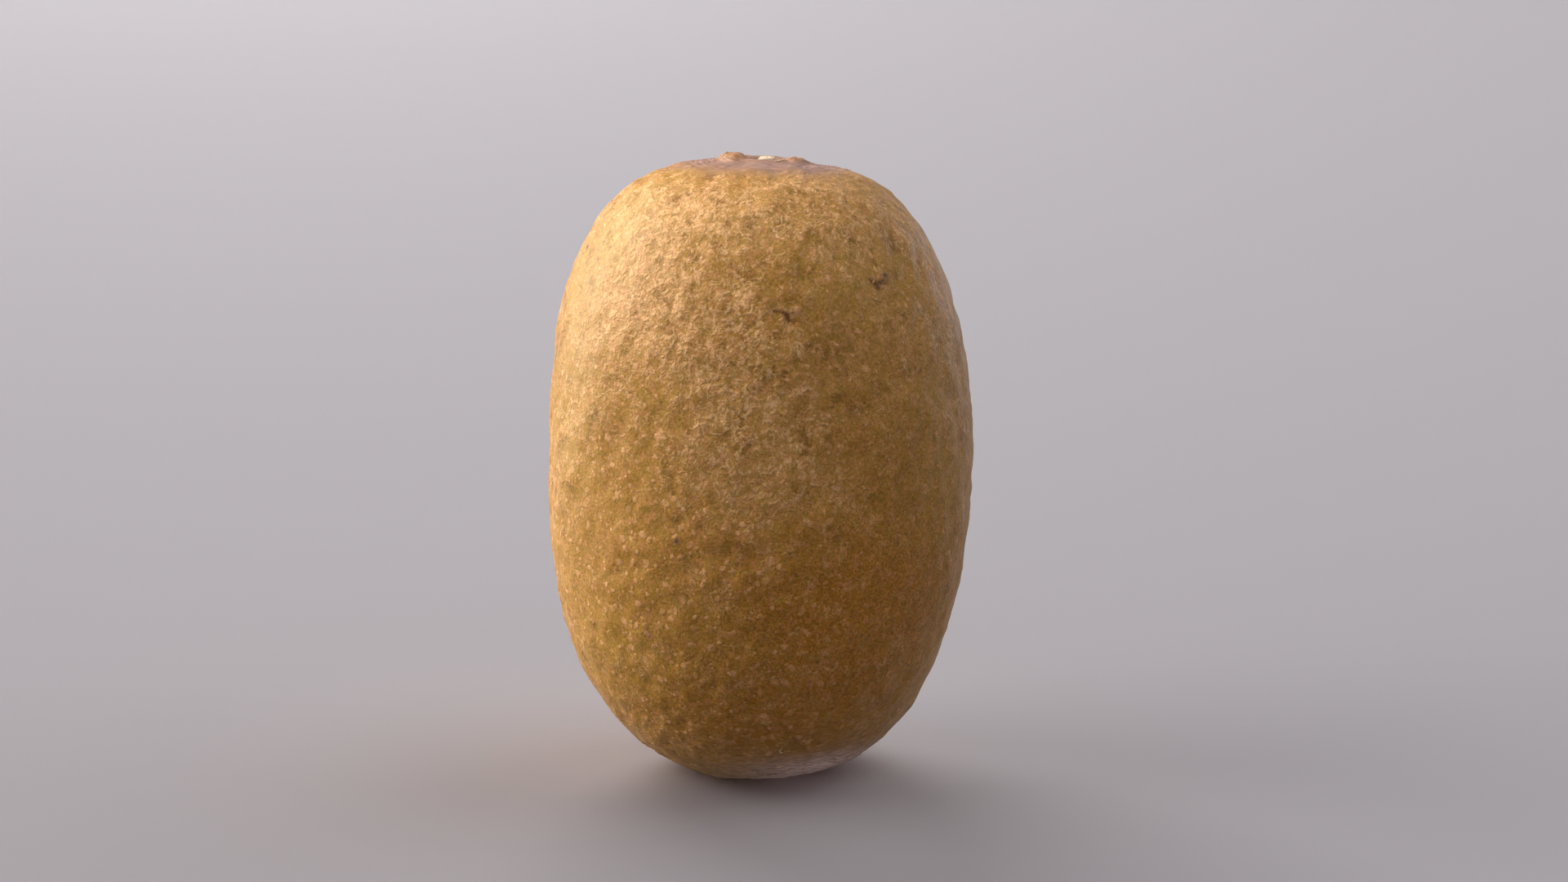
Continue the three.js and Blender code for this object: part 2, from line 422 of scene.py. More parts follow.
RUSTY = (  # azimuth, height, turn, reach, amount: where the skin is orange brown
    (285, 24, 30, 9, 0.9),
    (318, 22, 26, 12, 0.8),
    (268, 11, 46, 6, 0.7),
    (300, 40, 12, 8, 0.3),
    (90, 26, 50, 10, 0.5),
    (150, 67, 60, 4, 0.4),
)


def drawn_in_and_painted_sheen(distance, azimuth, height):
    """How far the skin is the smooth mauve kind that is drawn in at the two ends, from 0 to 1.

    At the foot it reaches furthest on the side that FOOT_PAINTED_SHEEN names. There the mauve and its pale
    streaks are a painted sheen, a reflection painted into the skin's colour.
    """
    side = bell(between(azimuth, FOOT_PAINTED_SHEEN["azimuth"]), FOOT_PAINTED_SHEEN["turn"])
    painted_sheen = side * (1 - smooth(distance, FOOT_PAINTED_SHEEN["from"], FOOT_PAINTED_SHEEN["to"]))
    middle = FOOT_MIDDLE["share"] * (1 - smooth(distance, FOOT_MIDDLE["from"], FOOT_MIDDLE["to"]))
    stem = 1 - smooth(distance, STEM_SMOOTH["from"], STEM_SMOOTH["to"])
    return np.where(height > WIDEST, stem, np.maximum(painted_sheen, middle))


def fuzz_share(points, azimuth, distance, height):
    """How much of the skin the rubbed fuzz hides: each region's share plus clumps, less at both ends."""
    share = FUZZ_SHARE + patches(FUZZY, azimuth, height)
    for size, strength, seed in CLUMPS:
        share = share + strength * ripple(points, size, seed)
    return np.clip(share, 0, 1) * (1 - drawn_in_and_painted_sheen(distance, azimuth, height))


def clear_of_marks(points):
    """Whether each place is clear of the dark marks, where neither fuzz nor lenticels grow."""
    clear = np.ones(len(points), bool)
    for (azimuth, height, _), marks in SCARS:
        east, north, size, _, wound = np.array(marks).T[:5]
        latitudes, azimuths = moved(latitude_at(height), azimuth, east, north)
        places = plain_skin(latitudes, azimuths) - MIDDLE
        for place, reach in zip(places[wound > 0], size[wound > 0]):
            clear &= np.linalg.norm(points - place, axis=1) > CLEARANCE * reach
    return clear


def skin_zones(points, latitude, azimuth, wound=0.0, lenticel=0.0, hair=0.0, grey=0.0):
    """What the skin's material reads at each point.

    Zones are fuzz, green and rust. Ends are drawn-in skin, which low on one side of the foot is a painted
    sheen, cork and pith. Marks are wound, lenticel and hair.
    A grey mark is as dull and mauve as the drawn-in skin.
    """
    distance, height = barrel(latitude)
    zero = 0 * (distance + azimuth)
    distance, height = distance + zero, height + zero
    stem = height > WIDEST
    pith = stem * (1 - smooth(distance, PITH["radius"] - PITH["edge"], PITH["radius"] - 0.05))
    cork = stem * cork_share(distance, azimuth)
    fuzz = fuzz_share(points, azimuth, distance, height)
    zones = (fuzz, patches(GREENISH, azimuth, height), patches(RUSTY, azimuth, height), zero + 1)
    ends = (np.maximum(drawn_in_and_painted_sheen(distance, azimuth, height), grey), cork, pith, zero + 1)
    marks = (zero + wound, zero + lenticel, zero + hair, zero + 1)
    return {"zones": np.stack(zones, -1), "ends": np.stack(ends, -1), "marks": np.stack(marks, -1)}


# Making meshes
# ------------------------------------------------------------


def new_object(name, points, faces, material, group):
    """A smooth object at the origin, in a collection that lights are aimed at.

    It is made from points in millimetres and blocks of faces.
    """
    mesh = bpy.data.meshes.new(name)
    faces = [face for block in faces for face in block.tolist()]
    mesh.from_pydata((points.reshape(-1, 3) * MM).tolist(), [], faces)
    mesh.materials.append(material)
    mesh.shade_smooth()
    thing = bpy.data.objects.new(name, mesh)
    bpy.context.scene.collection.objects.link(thing)
    collection = bpy.data.collections.get(group) or bpy.data.collections.new(group)
    collection.objects.link(thing)
    return thing


def mesh_piece(name, points, faces, material=None):
    """A piece that rides on the fruit, none of it below the surface that the fruit stands on.

    Without a material of its own it has the skin's.
    """
    points = np.stack([points[..., 0], points[..., 1], np.maximum(points[..., 2], 0)], -1)
    piece = new_object(name, points, faces, material or bpy.data.materials[SKIN], "fruit pieces")
    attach(piece, "root")
    return piece


def add_attributes(piece, attributes):
    """Stores what the material reads at each point, as colours of four numbers from 0 to 1."""
    for name, values in attributes.items():
        layer = piece.data.attributes.new(name, "FLOAT_COLOR", "POINT")
        layer.data.foreach_set("color", np.clip(values, 0, 1).astype(np.float32).reshape(-1))


def bands(rings, columns, first=0):
    """Four-sided faces that join rings of points, each ring to the next, from the first point on."""
    ring = np.arange(columns)
    beside = np.roll(ring, -1)
    start = first + np.arange(rings - 1)[:, None] * columns
    corners = (start + ring, start + columns + ring, start + columns + beside, start + beside)
    return np.stack(corners, -1).reshape(-1, 4)


def fan(columns, middle, first):
    """Three-sided faces from a middle point to a ring of points, from its first point on."""
    ring = np.arange(columns)
    return np.stack([np.full_like(ring, middle), first + ring, first + np.roll(ring, -1)], -1)


def turned_over(faces):
    """The same faces, each with the same first corner, seen from the other side."""
    return np.roll(faces[:, ::-1], 1, 1)


def copies(blocks, count, points):
    """Blocks of faces repeated for a count of shapes that have so many points each."""
    shift = np.arange(count)[:, None, None] * points
    return [(block[None] + shift).reshape(-1, block.shape[1]) for block in blocks]


def closed_faces(rings, columns):
    """Faces of a skin closed at both poles: point 0, then rings of columns, then the last point."""
    last = 1 + (rings - 1) * columns
    walls = turned_over(bands(rings, columns, 1))
    return [walls, turned_over(fan(columns, 0, 1)), fan(columns, last + columns, last)]


def skin_at(latitude, azimuth):
    """Points of the finished skin, with the plain skin's points and outward directions."""
    plain, out = skin_frame(latitude, azimuth)
    return plain + out * fine_relief(plain, latitude, azimuth)[..., None], plain, out


def kept(count, seed, chance):
    """Seeded places spread evenly over the skin, clear of the dark marks.

    Each is a golden angle on from the last and shaken a little. It is kept by a chance that is a function of
    the fuzz there and of how far the skin is not drawn in.
    """
    rng = np.random.default_rng(seed)
    order = np.arange(count)
    length = np.hypot(np.diff(WALK_RADIUS), np.diff(WALK_HEIGHT))
    area = np.concatenate([[0], np.cumsum(2 * math.pi * WALK_RADIUS[1:] * length)])
    gap = math.sqrt(area[-1] / count)
    latitude = np.interp(area[-1] * (order + 0.5) / count, area, WALK)
    latitude = np.clip(latitude + 0.4 * gap / WIDEST * rng.normal(size=count), -POLEWARD, POLEWARD)
    azimuth = (order * GOLDEN_ANGLE + np.degrees(gap / RADIUS) * rng.normal(size=count)) % TURN
    distance, height = barrel(latitude)
    points = plain_skin(latitude, azimuth) - MIDDLE
    fuzz = fuzz_share(points, azimuth, distance, height)
    keep = rng.random(len(latitude)) < chance(fuzz, 1 - drawn_in_and_painted_sheen(distance, azimuth, height))
    keep &= clear_of_marks(points)
    return latitude[keep], azimuth[keep], height[keep], rng


def moved(latitude, azimuth, east, north):
    """Latitudes and azimuths of the places so far east and north over the skin from others."""
    nudge = 1e-3
    radius, _ = barrel(latitude)
    along = plain_skin(latitude + nudge, azimuth) - plain_skin(latitude - nudge, azimuth)
    reach = np.linalg.norm(along, axis=-1) / (2 * nudge)
    latitudes = latitude[..., None] + north / reach[..., None]
    turned = np.degrees(east / np.maximum(radius, 1)[..., None])
    return np.clip(latitudes, -POLEWARD, POLEWARD), np.asarray(azimuth)[..., None] + turned


def strands(latitude, azimuth, heading, bend, length, steps):
    """Latitudes and azimuths along curls that lie on the skin.

    Each starts at its place with a heading in degrees from east towards north, and turns evenly.
    """
    along = np.linspace(0, 1, steps + 1)[:-1] + 0.5 / steps
    course = np.radians(heading)[:, None] + bend[:, None] * along
    pace = (length / steps)[:, None]
    start = np.zeros((len(latitude), 1))
    east = np.concatenate([start, np.cumsum(pace * np.cos(course), 1)], 1)
    north = np.concatenate([start, np.cumsum(pace * np.sin(course), 1)], 1)
    return moved(latitude, azimuth, east, north)


def domes(latitude, azimuth, radius, rise, phase):
    """Low domes on the skin: a middle point and three rings, the rim sunk and the rest a cosine.

    Two waves round the rim, set off by each dome's phase, take it out of round. This gives points, faces,
    each point's latitude and azimuth, and how much of a lenticel each point is.
    """
    each = [1, DOME_SIDES, DOME_SIDES, DOME_SIDES]
    out_to = np.array([0, 0.45, 0.8, 1.0]).repeat(each)
    turn = np.radians(np.concatenate([[0], np.tile(np.arange(DOME_SIDES) * TURN / DOME_SIDES, 3)]))
    phase = phase[:, None]
    round_off = 1 + 0.16 * np.cos(2 * turn + phase) + 0.12 * np.cos(3 * turn + 2.3 * phase)
    across = radius[:, None] * out_to * round_off
    latitudes, azimuths = moved(latitude, azimuth, across * np.cos(turn), across * np.sin(turn))
    surface, _, out = skin_at(latitudes, azimuths)
    high = rise[:, None] * np.cos(out_to * math.pi / 2) - SUNK * (out_to == 1)
    faces = copies((fan(DOME_SIDES, 0, 1), bands(3, DOME_SIDES, 1)), len(latitude), sum(each))
    share = np.array([1, 0.75, 0.3, 0]).repeat(each) + 0 * across
    return surface + out * high[..., None], faces, latitudes, azimuths, share


def fibres(latitude, azimuth, width, rise):
    """Fibres along rows of skin places: strips with their edges in the skin and a ridge between.

    The width and the rise follow a half sine along the fibre, so that it fades into the skin at both ends.
    This gives sections of three points, faces, and how near the ridge each point is.
    """
    centre, _, out = skin_at(latitude, azimuth)
    count, steps = latitude.shape
    swell = 0.15 + 0.85 * np.sin(np.linspace(0, math.pi, steps))[None, :, None]
    side = unit(np.cross(out, np.gradient(centre, axis=1)))
    half = 0.5 * width[:, None, None] * swell
    edge = centre - out * FIBRE_SUNK
    ridge = centre + out * rise[:, None, None] * swell
    sections = np.stack([edge - side * half, ridge, edge + side * half], 2)
    share = np.stack([0 * swell[..., 0], swell[..., 0], 0 * swell[..., 0]], -1) + np.zeros((count, 1, 1))
    first = np.arange(steps - 1)[:, None, None] * 3 + np.arange(2)[None, :, None]
    strip = (first + np.array([0, 3, 4, 1])).reshape(-1, 4)
    return sections, copies([strip], count, 3 * steps), share


def tubes(paths, radii, sides=6):
    """Round tubes: a ring of points about each point of each path, and a point to close each end."""
    count, steps = radii.shape
    tangent = unit(np.gradient(paths, axis=1))
    across = unit(np.cross(tangent, (0.31, 0.52, 0.8)))
    over = np.cross(across, tangent)
    turn = (np.arange(sides) * 2 * math.pi / sides)[:, None]
    ring = np.cos(turn) * across[:, :, None] + np.sin(turn) * over[:, :, None]
    rings = (paths[:, :, None] + radii[..., None, None] * ring).reshape(count, -1, 3)
    points = np.concatenate([rings, paths[:, :1], paths[:, -1:]], 1)
    last = (steps - 1) * sides
    end = steps * sides
    caps = (fan(sides, end, 0), turned_over(fan(sides, end + 1, last)))
    return points, copies((bands(steps, sides), *caps), count, end + 2)


# Materials
# ------------------------------------------------------------

SKIN = "gold kiwi skin"
SHEEN_TINT = linear("#F0DCC0")
STREAK_SQUEEZE = (0.4, 0.4, 2.2)


class Graph:
    """A new material's nodes. Each method adds one and gives the socket, or the sockets, with its result."""

    def __init__(self, name):
        self.material = bpy.data.materials.new(name)
        self.material.use_nodes = True
        self.tree = self.material.node_tree
        self.tree.nodes.clear()

    def add(self, kind, settings=(), inputs=()):
        """Any node, with its settings, and its inputs, each named or numbered, set or linked."""
        node = self.tree.nodes.new("ShaderNode" + kind)
        for name, value in dict(settings).items():
            setattr(node, name, value)
        for name, value in dict(inputs).items():
            if isinstance(value, bpy.types.NodeSocket):
                self.tree.links.new(value, node.inputs[name])
            else:
                node.inputs[name].default_value = value
        return node.outputs

    def number(self, operation, *values):
        """A sum on numbers."""
        return self.add("Math", {"operation": operation}, enumerate(values))[0]

    def vector(self, operation, *values):
        """A sum on vectors."""
        return self.add("VectorMath", {"operation": operation}, enumerate(values))[0]

    def ramp(self, value, low, high, start=0, end=1):
        """A value carried from between low and high to between start and end, and held outside them."""
        return self.add("MapRange", (), enumerate((value, low, high, start, end)))[0]

    def fade(self, share, one, other):
        """From one number to another, by a share."""
        return self.add("Mix", (), {0: share, 2: one, 3: other})[0]

    def tint(self, share, one, other, blend="MIX"):
        """From one colour to another, by a share."""
        return self.add("Mix", {"data_type": "RGBA", "blend_type": blend}, {0: share, 6: one, 7: other})[2]

    def noise(self, place, size, detail, roughness=0.5):
        """Cloudy noise with features of one size in millimetres."""
        inputs = {"Vector": place, "Scale": 1 / (size * MM), "Detail": detail, "Roughness": roughness}
        return self.add("TexNoise", (), inputs)

    def stored(self, name):
        """The numbers stored at each point under a name."""
        return self.add("SeparateColor", (), {0: self.add("Attribute", {"attribute_name": name})["Color"]})

    def finish(self, colour, rough, inputs):
        """The surface with its colour, roughness and other inputs, as the finished material."""
        inputs = {"Base Color": colour, "Roughness": rough, **inputs}
        self.add("OutputMaterial", (), {"Surface": self.add("BsdfPrincipled", (), inputs)["BSDF"]})
        return self.material


def skin_material(look):
    """Skin of a gold kiwi: a leathery cuticle, satin, with rubbed-off fuzz.

    Its golden brown ground has greener and rustier patches, and soft tan flecks of dead hair that stand a
    little proud. Pale round lenticels dot it. At both ends the skin is smoother, glossier and mauve brown.
    Low on one side of the foot that mauve and its pale pink streaks are a painted sheen.
    The numbers in each ramp are levels of a pattern, which all run from 0 to 1.
    """
    graph = Graph(SKIN)
    add, number, vector, ramp = graph.add, graph.number, graph.vector, graph.ramp
    place = add("TexCoord")["Object"]
    fuzzy, green, rusty = graph.stored("zones")
    drawn, cork, pith = graph.stored("ends")
    wound, lenticel, hair = graph.stored("marks")

    # Places pushed about by up to 0.5 mm, so that no pattern runs straight.
    push = graph.noise(place, 1.3, 1)["Color"]
    push = vector("SUBTRACT", push, (0.5, 0.5, 0.5))
    pushed = vector("ADD", place, add("VectorMath", {"operation": "SCALE"}, {0: push, "Scale": MM})[0])

    # The streaks' places: the third number steps inwards on an end and along on a flank.
    sides = add("SeparateXYZ", (), {0: pushed})
    across = add("VectorMath", {"operation": "LENGTH"}, {0: vector("MULTIPLY", pushed, (1, 1, 0))})["Value"]
    inward = number("SUBTRACT", across, number("ABSOLUTE", number("SUBTRACT", sides[2], WIDEST * MM)))
    ringed = add("CombineXYZ", (), {0: sides[0], 1: sides[1], 2: inward})[0]
    streaked = add("Mapping", (), {"Vector": ringed, "Scale": STREAK_SQUEEZE})[0]

    # Patterns by the size of their features in millimetres; a streak is five times as long as it is high.
    cloud, mottle, fleck, speck, grain, streak, level, broken, blotch = (
        graph.noise(where, size, detail, 0.58)["Fac"]
        for where, size, detail in (
            (place, 8.0, 3),
            (pushed, 2.2, 3),
            (pushed, 0.62, 2),
            (pushed, 0.42, 2),
            (place, 0.24, 1),
            (streaked, 0.6, 2),
            (pushed, 1.1, 1),
            (place, 0.9, 1),
            (pushed, 0.75, 1),
        )
    )
    low = ramp(add("SeparateXYZ", (), {0: place})[2], 16 * MM, 6 * MM)

    # The fuzz: flecks and broken curls, as much of them as the zone says.
    off = number("ABSOLUTE", number("SUBTRACT", level, 0.5))
    curl = number("MULTIPLY", ramp(off, 0.012, 0.06, 0.4, 0), ramp(broken, 0.45, 0.56))
    least = ramp(fuzzy, 0, 1, 0.64, 0.42)
    flecked = ramp(fleck, least, number("ADD", least, 0.2))
    fuzz = number("MULTIPLY", number("MAXIMUM", curl, flecked), ramp(fuzzy, 0, 0.8, 0.1, 0.75))

    # The colours, each laid over those before it by its share.
    # Pale streaks on the drawn-in skin: few at the stem and many low on the foot, where with the mauve they
    # are a painted sheen.
    streaks_and_painted_sheen = ramp(streak, 0.42, 0.58, number("MULTIPLY", low, 0.35), ramp(low, 0, 1, 0.1, 0.9))
    layers = (
        (ramp(cloud, 0.36, 0.64), look.ground_brown),
        (green, look.ground_green),
        (rusty, look.ground_rust),
        (number("MULTIPLY", ramp(mottle, 0.48, 0.32), ramp(fuzzy, 0.1, 0.6, 0.15, 0.6)), look.pore),
        (number("MULTIPLY", ramp(mottle, 0.36, 0.62), ramp(fuzzy, 0.15, 0.9, 0.04, 0.65)), look.tan),
        (ramp(speck, 0.5, 0.68, 0, 0.3), look.tan),
        (ramp(speck, 0.44, 0.32, 0, 0.3), look.pore),
        (ramp(blotch, 0.47, 0.33, 0, 0.4), look.olive),
        (fuzz, look.fuzz),
        (ramp(blotch, 0.53, 0.67, 0, 0.4), look.ruddy),
        # The drawn-in mauve and its pale streaks: real smooth skin at the ends, and a painted sheen low on
        # one side of the foot.
        (drawn, look.mauve),
        (number("MULTIPLY", streaks_and_painted_sheen, drawn), look.streak),
        (cork, look.cork),
        (number("MULTIPLY", ramp(fleck, 0.54, 0.38, 0, 0.6), cork), look.dry),
        (pith, look.pith),
        (lenticel, look.lenticel),
        (hair, look.fuzz),
        (wound, look.wound),
        (ramp(number("MULTIPLY", wound, drawn), 0.4, 0.9, 0, 0.7), look.dark),
    )
    colour = look.ground
    for share, tint in layers:
        colour = graph.tint(share, colour, tint)

    # Low down and on the drawn-in ends the grain runs round the fruit in streaks.
    lined = number("MAXIMUM", low, drawn)
    fine = graph.fade(lined, grain, streak)
    shade = number("MULTIPLY_ADD", number("SUBTRACT", fine, 0.5), ramp(rusty, 0, 1, 1.05, 1.7), 1)
    colour = graph.tint(1, colour, shade, "MULTIPLY")

    # Relief in millimetres: the fuzz stands proud, the mottling rolls and the grain pricks it.
    relief = number("MULTIPLY", fuzz, look.fuzz_height / MM)
    pricked = ramp(lined, 0, 1, 0.02, 0.12)
    for pattern, rise in ((mottle, 0.1), (fleck, 0.05), (speck, 0.035), (fine, pricked)):
        relief = number("MULTIPLY_ADD", pattern, rise, relief)
    bare = add("Math", {"operation": "SUBTRACT", "use_clamp": True}, {0: drawn, 1: cork})[0]
    return graph.finish(
        colour,
        graph.fade(bare, ramp(fuzz, 0, 1, 0.48, 0.7), 0.42),
        {
            "IOR": 1.42,
            "Normal": add("Bump", (), {"Strength": 1, "Distance": MM, "Height": relief})[0],
            "Specular IOR Level": graph.fade(bare, 0.25, 0.38),
            "Sheen Weight": 0.02,
            "Sheen Roughness": 0.45,
            "Sheen Tint": SHEEN_TINT,
        },
    )


def dry_material(name, colour, other, size, roughness):
    """Dry plant matter, matt: two tones in grains of one size, with the grain raised a little."""
    graph = Graph(name)
    place = graph.add("TexCoord")["Object"]
    grain = graph.noise(place, size, 3)["Fac"]
    colour = graph.tint(graph.ramp(grain, 0.35, 0.65), colour, other)
    bump = graph.add("Bump", (), {"Strength": 0.6, "Distance": 0.1 * size * MM, "Height": grain})[0]
    return graph.finish(colour, roughness, {"IOR": 1.45, "Normal": bump})


# Settings
# ------------------------------------------------------------


def count_setting(name, description, default):
    """A number of things that a user can change."""
    return IntProperty(name=name, description=description, default=default, min=0)


def colour_setting(name, description, code):
    """A colour that a user can change, given as hex sRGB."""
    return FloatVectorProperty(
        name=name, description=description, subtype="COLOR", size=4, min=0, max=1, default=linear(code)
    )


class SkinLook(PropertyGroup):
    """Colours and relief of the skin."""

    ground: colour_setting("Ground", "Gold of the bare skin", "#926C2A")
    ground_brown: colour_setting("Brown ground", "Browner clouds in the bare skin", "#855E22")
    ground_green: colour_setting("Green ground", "Yellow-green patches of the bare skin", "#8C7226")
    ground_rust: colour_setting("Rusty ground", "Orange brown patches of the bare skin", "#8A590C")
    tan: colour_setting("Dark fuzz", "The darker of the dead hair", "#A67C4C")
    fuzz: colour_setting("Light fuzz", "The lighter of the dead hair", "#C29A70")
    lenticel: colour_setting("Lenticels", "Pale raised pores", "#BE8F68")
    ruddy: colour_setting("Ruddy blotches", "Small blotches of redder fuzz", "#A8744C")
    olive: colour_setting("Olive blotches", "Small blotches of greener skin", "#80682A")
    pore: colour_setting("Pores", "Dark pores and creases", "#5A3A12")
    # Low on one side of the foot these two colours are a painted sheen.
    mauve: colour_setting("Drawn-in skin", "Smooth skin round the two ends", "#7C5C50")
    streak: colour_setting("Streaks", "Pale streaks in the drawn-in skin", "#E8C8C0")
    cork: colour_setting("Cork", "Sepal stumps of the stem scar", "#956E50")
    pith: colour_setting("Pith", "Torn pith in the middle of the stem scar", "#CABBA5")
    wound: colour_setting("Wound", "Healed wounds and dents", "#5C3A18")
    dry: colour_setting("Dry sepal", "Tatters of dry sepal and the dried styles", "#6E4C30")
    dark: colour_setting("Dark dry sepal", "The darker of the dry tatters and styles", "#463222")
    thread: colour_setting("Thread", "Pale loose threads of hair", "#DCCCB0")
    fuzz_height: FloatProperty(
        name="Fuzz height",
        description="How far the rubbed fuzz stands above the skin",
        default=0.05 * MM,
        min=0,
        max=1 * MM,
        precision=6,
        unit="LENGTH",
    )


class StageLook(PropertyGroup):
    """The floor."""

    floor: colour_setting("Floor", "Pale floor and backdrop", "#D8D4DA")


class KiwiSettings(PropertyGroup):
    """All that a user can change."""

    skin: PointerProperty(type=SkinLook)
    stage: PointerProperty(type=StageLook)
    lenticels: count_setting("Lenticels", "How many lenticels are tried over the skin", 7500)
    curls: count_setting("Curls", "How many long curls of fuzz are tried over the skin", 30000)
    flecks: count_setting("Flecks", "How many flecks of fuzz, and wisps, are tried over the skin", 60000)


# The pieces
# ------------------------------------------------------------


def build_skin(kiwi):
    """The skin: the grid of the plain skin, moved out along its normals by the fine relief."""
    latitude, azimuth = GRID_LATITUDES[:, None], GRID_AZIMUTHS[None, :]
    plain = GRID - MIDDLE
    round_step = np.roll(plain, -1, 1) - np.roll(plain, 1, 1)
    out = unit(np.cross(round_step, np.gradient(plain, axis=0)))
    rise = fine_relief(plain, latitude, azimuth)
    for (at, level, half), _ in SCARS:
        middle = plain_skin(latitude_at(level), at) - MIDDLE
        rise = rise - SCAR_BED * bell(np.linalg.norm(plain - middle, axis=-1) / half, 0.5, 8)
    points = plain + out * rise[..., None]

    def with_poles(values):
        flat = values[1:-1].reshape(-1, values.shape[-1])
        return np.concatenate([values[0].mean(0)[None], flat, values[-1].mean(0)[None]])

    faces = closed_faces(len(points) - 2, COLUMNS)
    skin = mesh_piece("skin", with_poles(points), faces, skin_material(kiwi.skin))
    zones = skin_zones(plain, latitude, azimuth)
    add_attributes(skin, {name: with_poles(values) for name, values in zones.items()})
    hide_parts("fruit")


def build_lenticels(kiwi):
    """Lenticels: low domes, thickest where the skin has little fuzz.

    Their middles are pale, and their rims take the skin's own colours. On the side turned from the lamps
    they are made less pale, which is painted shade.
    """
    latitude, azimuth, height, rng = kept(
        kiwi.lenticels, 41, lambda fuzz, own: np.clip(1.15 - 1.3 * fuzz, 0.1, 1) * own
    )
    radius = np.exp(LENTICEL["spread"] * rng.normal(size=len(latitude)))
    radius = np.clip(LENTICEL["radius"] * radius, LENTICEL["least"], LENTICEL["most"])
    rise = radius * rng.uniform(0.03, 0.1, len(radius))
    phase = rng.uniform(0, 2 * math.pi, len(radius))
    points, faces, latitudes, azimuths, share = domes(latitude, azimuth, radius, rise, phase)
    plain = plain_skin(latitudes, azimuths) - MIDDLE
    # Painted shade: lenticels on the side turned from the lamps lose part of their paleness.
    at, turn, level, reach, painted_shade_share = LENTICELS_IN_PAINTED_SHADE
    painted_shade = painted_shade_share * (bell(between(azimuth, at), turn) * bell(height - level, reach, 4))
    strength = (rng.uniform(0.25, 0.85, len(radius)) * (1 - painted_shade))[:, None]
    lenticels = mesh_piece("lenticels", points, faces)
    add_attributes(lenticels, skin_zones(plain, latitudes, azimuths, lenticel=share * strength))


def build_fibres(name, count, seed, length, width, rise, bend, steps, chance):
    """Rubbed fuzz as fibres on the skin, thickest where the fuzz is."""
    latitude, azimuth, height, rng = kept(count, seed, lambda fuzz, _: chance * smooth(fuzz, 0.15, 0.95))
    number = len(latitude)
    upright = 90 * smooth(height, 8, 30)
    heading = upright + rng.normal(0, 55, number) + 180 * rng.integers(0, 2, number)
    turning = rng.uniform(-bend, bend, number)
    size = rng.uniform(0.6, 1.3, number)
    rows, turns = strands(latitude, azimuth, heading, turning, length * size, steps)
    sections, faces, ridge = fibres(rows, turns, width * rng.uniform(0.7, 1.3, number), rise * size)
    tone = (0.06 + 0.5 * rng.random(number) ** 2)[:, None, None]
    piece = mesh_piece(name, sections, faces)
    plain = plain_skin(rows, turns) - MIDDLE
    zones = skin_zones(plain, rows, turns)
    zones = {kind: np.repeat(values[:, :, None], 3, 2) for kind, values in zones.items()}
    zones["marks"][..., 2] = ridge * tone
    add_attributes(piece, zones)


def build_scars():
    """Healed wounds and dents: square patches of finer skin, each moved in or out by soft marks on it.

    A patch lies just over the skin and dips under it at its rim. Its marks are bells about places east and
    north of its middle, pushed about by a random field so that none is round.
    """
    for number, ((azimuth, height, half), marks) in enumerate(SCARS):
        count = 2 * round(half / SCAR_STEP) + 1
        side = np.linspace(-half, half, count)
        east, north = (way.reshape(-1) for way in np.meshgrid(side, side))
        latitudes, azimuths = moved(latitude_at(height), azimuth, east, north)
        surface, plain, out = skin_at(latitudes, azimuths)
        wander_east, wander_north = (
            way + 0.06 * ripple(plain, 0.6, seed) + 0.015 * ripple(plain, 0.25, seed + 1)
            for way, seed in ((east, 61), (north, 63))
        )
        rise, wound, grey, pale = (np.zeros(len(east)) for _ in range(4))
        for to_east, to_north, size, tall, dark, dull, light in marks:
            share = bell(np.hypot(wander_east - to_east, wander_north - to_north), size)
            rise = rise + tall * share
            wound = np.maximum(wound, np.minimum(1, 1.3 * dark * share))
            grey = np.maximum(grey, dull * share)
            # The pale share, laid on as lenticel colour on raised ridges and bumps, is partly a painted
            # highlight.
            pale = np.maximum(pale, light * share)
        rim = smooth(np.hypot(east, north) / half, 0.65, 1.0)
        surface = surface + out * (rise * (1 - rim) + 0.012 - 0.04 * rim)[:, None]
        grid = np.arange(count * count).reshape(count, count)
        faces = np.stack([grid[:-1, :-1], grid[:-1, 1:], grid[1:, 1:], grid[1:, :-1]], -1).reshape(-1, 4)
        patch = mesh_piece(f"scar_{number + 1}", surface, [faces])
        add_attributes(patch, skin_zones(plain, latitudes, azimuths, wound, pale, 0.0, grey))


def build_pith(look):
    """The torn pith: short tapered shreds that stand on the stub in the cup, leaning a little out."""
    rng = np.random.default_rng(71)
    count = 70
    distance = 0.7 * PITH["radius"] * np.sqrt(rng.random(count))
    azimuth = rng.uniform(0, TURN, count)
    latitude = latitude_out(distance, True)
    base, _, _ = skin_at(latitude, azimuth)
    lean = rng.normal(0, 0.35, (count, 3)) + 0.4 * (base - base.mean(0)) / PITH["radius"]
    lean[:, 2] = 1
    length = rng.uniform(0.05, 0.12, count)[:, None, None]
    along = np.linspace(-0.4, 1, 5)
    paths = base[:, None] + length * along[:, None] * lean[:, None]
    radii = rng.uniform(0.05, 0.1, count)[:, None] * np.linspace(1.1, 0.35, 5)
    mesh_piece("pith", *tubes(paths, radii, 5), dry_material("torn pith", look.pith, look.thread, 0.5, 0.75))


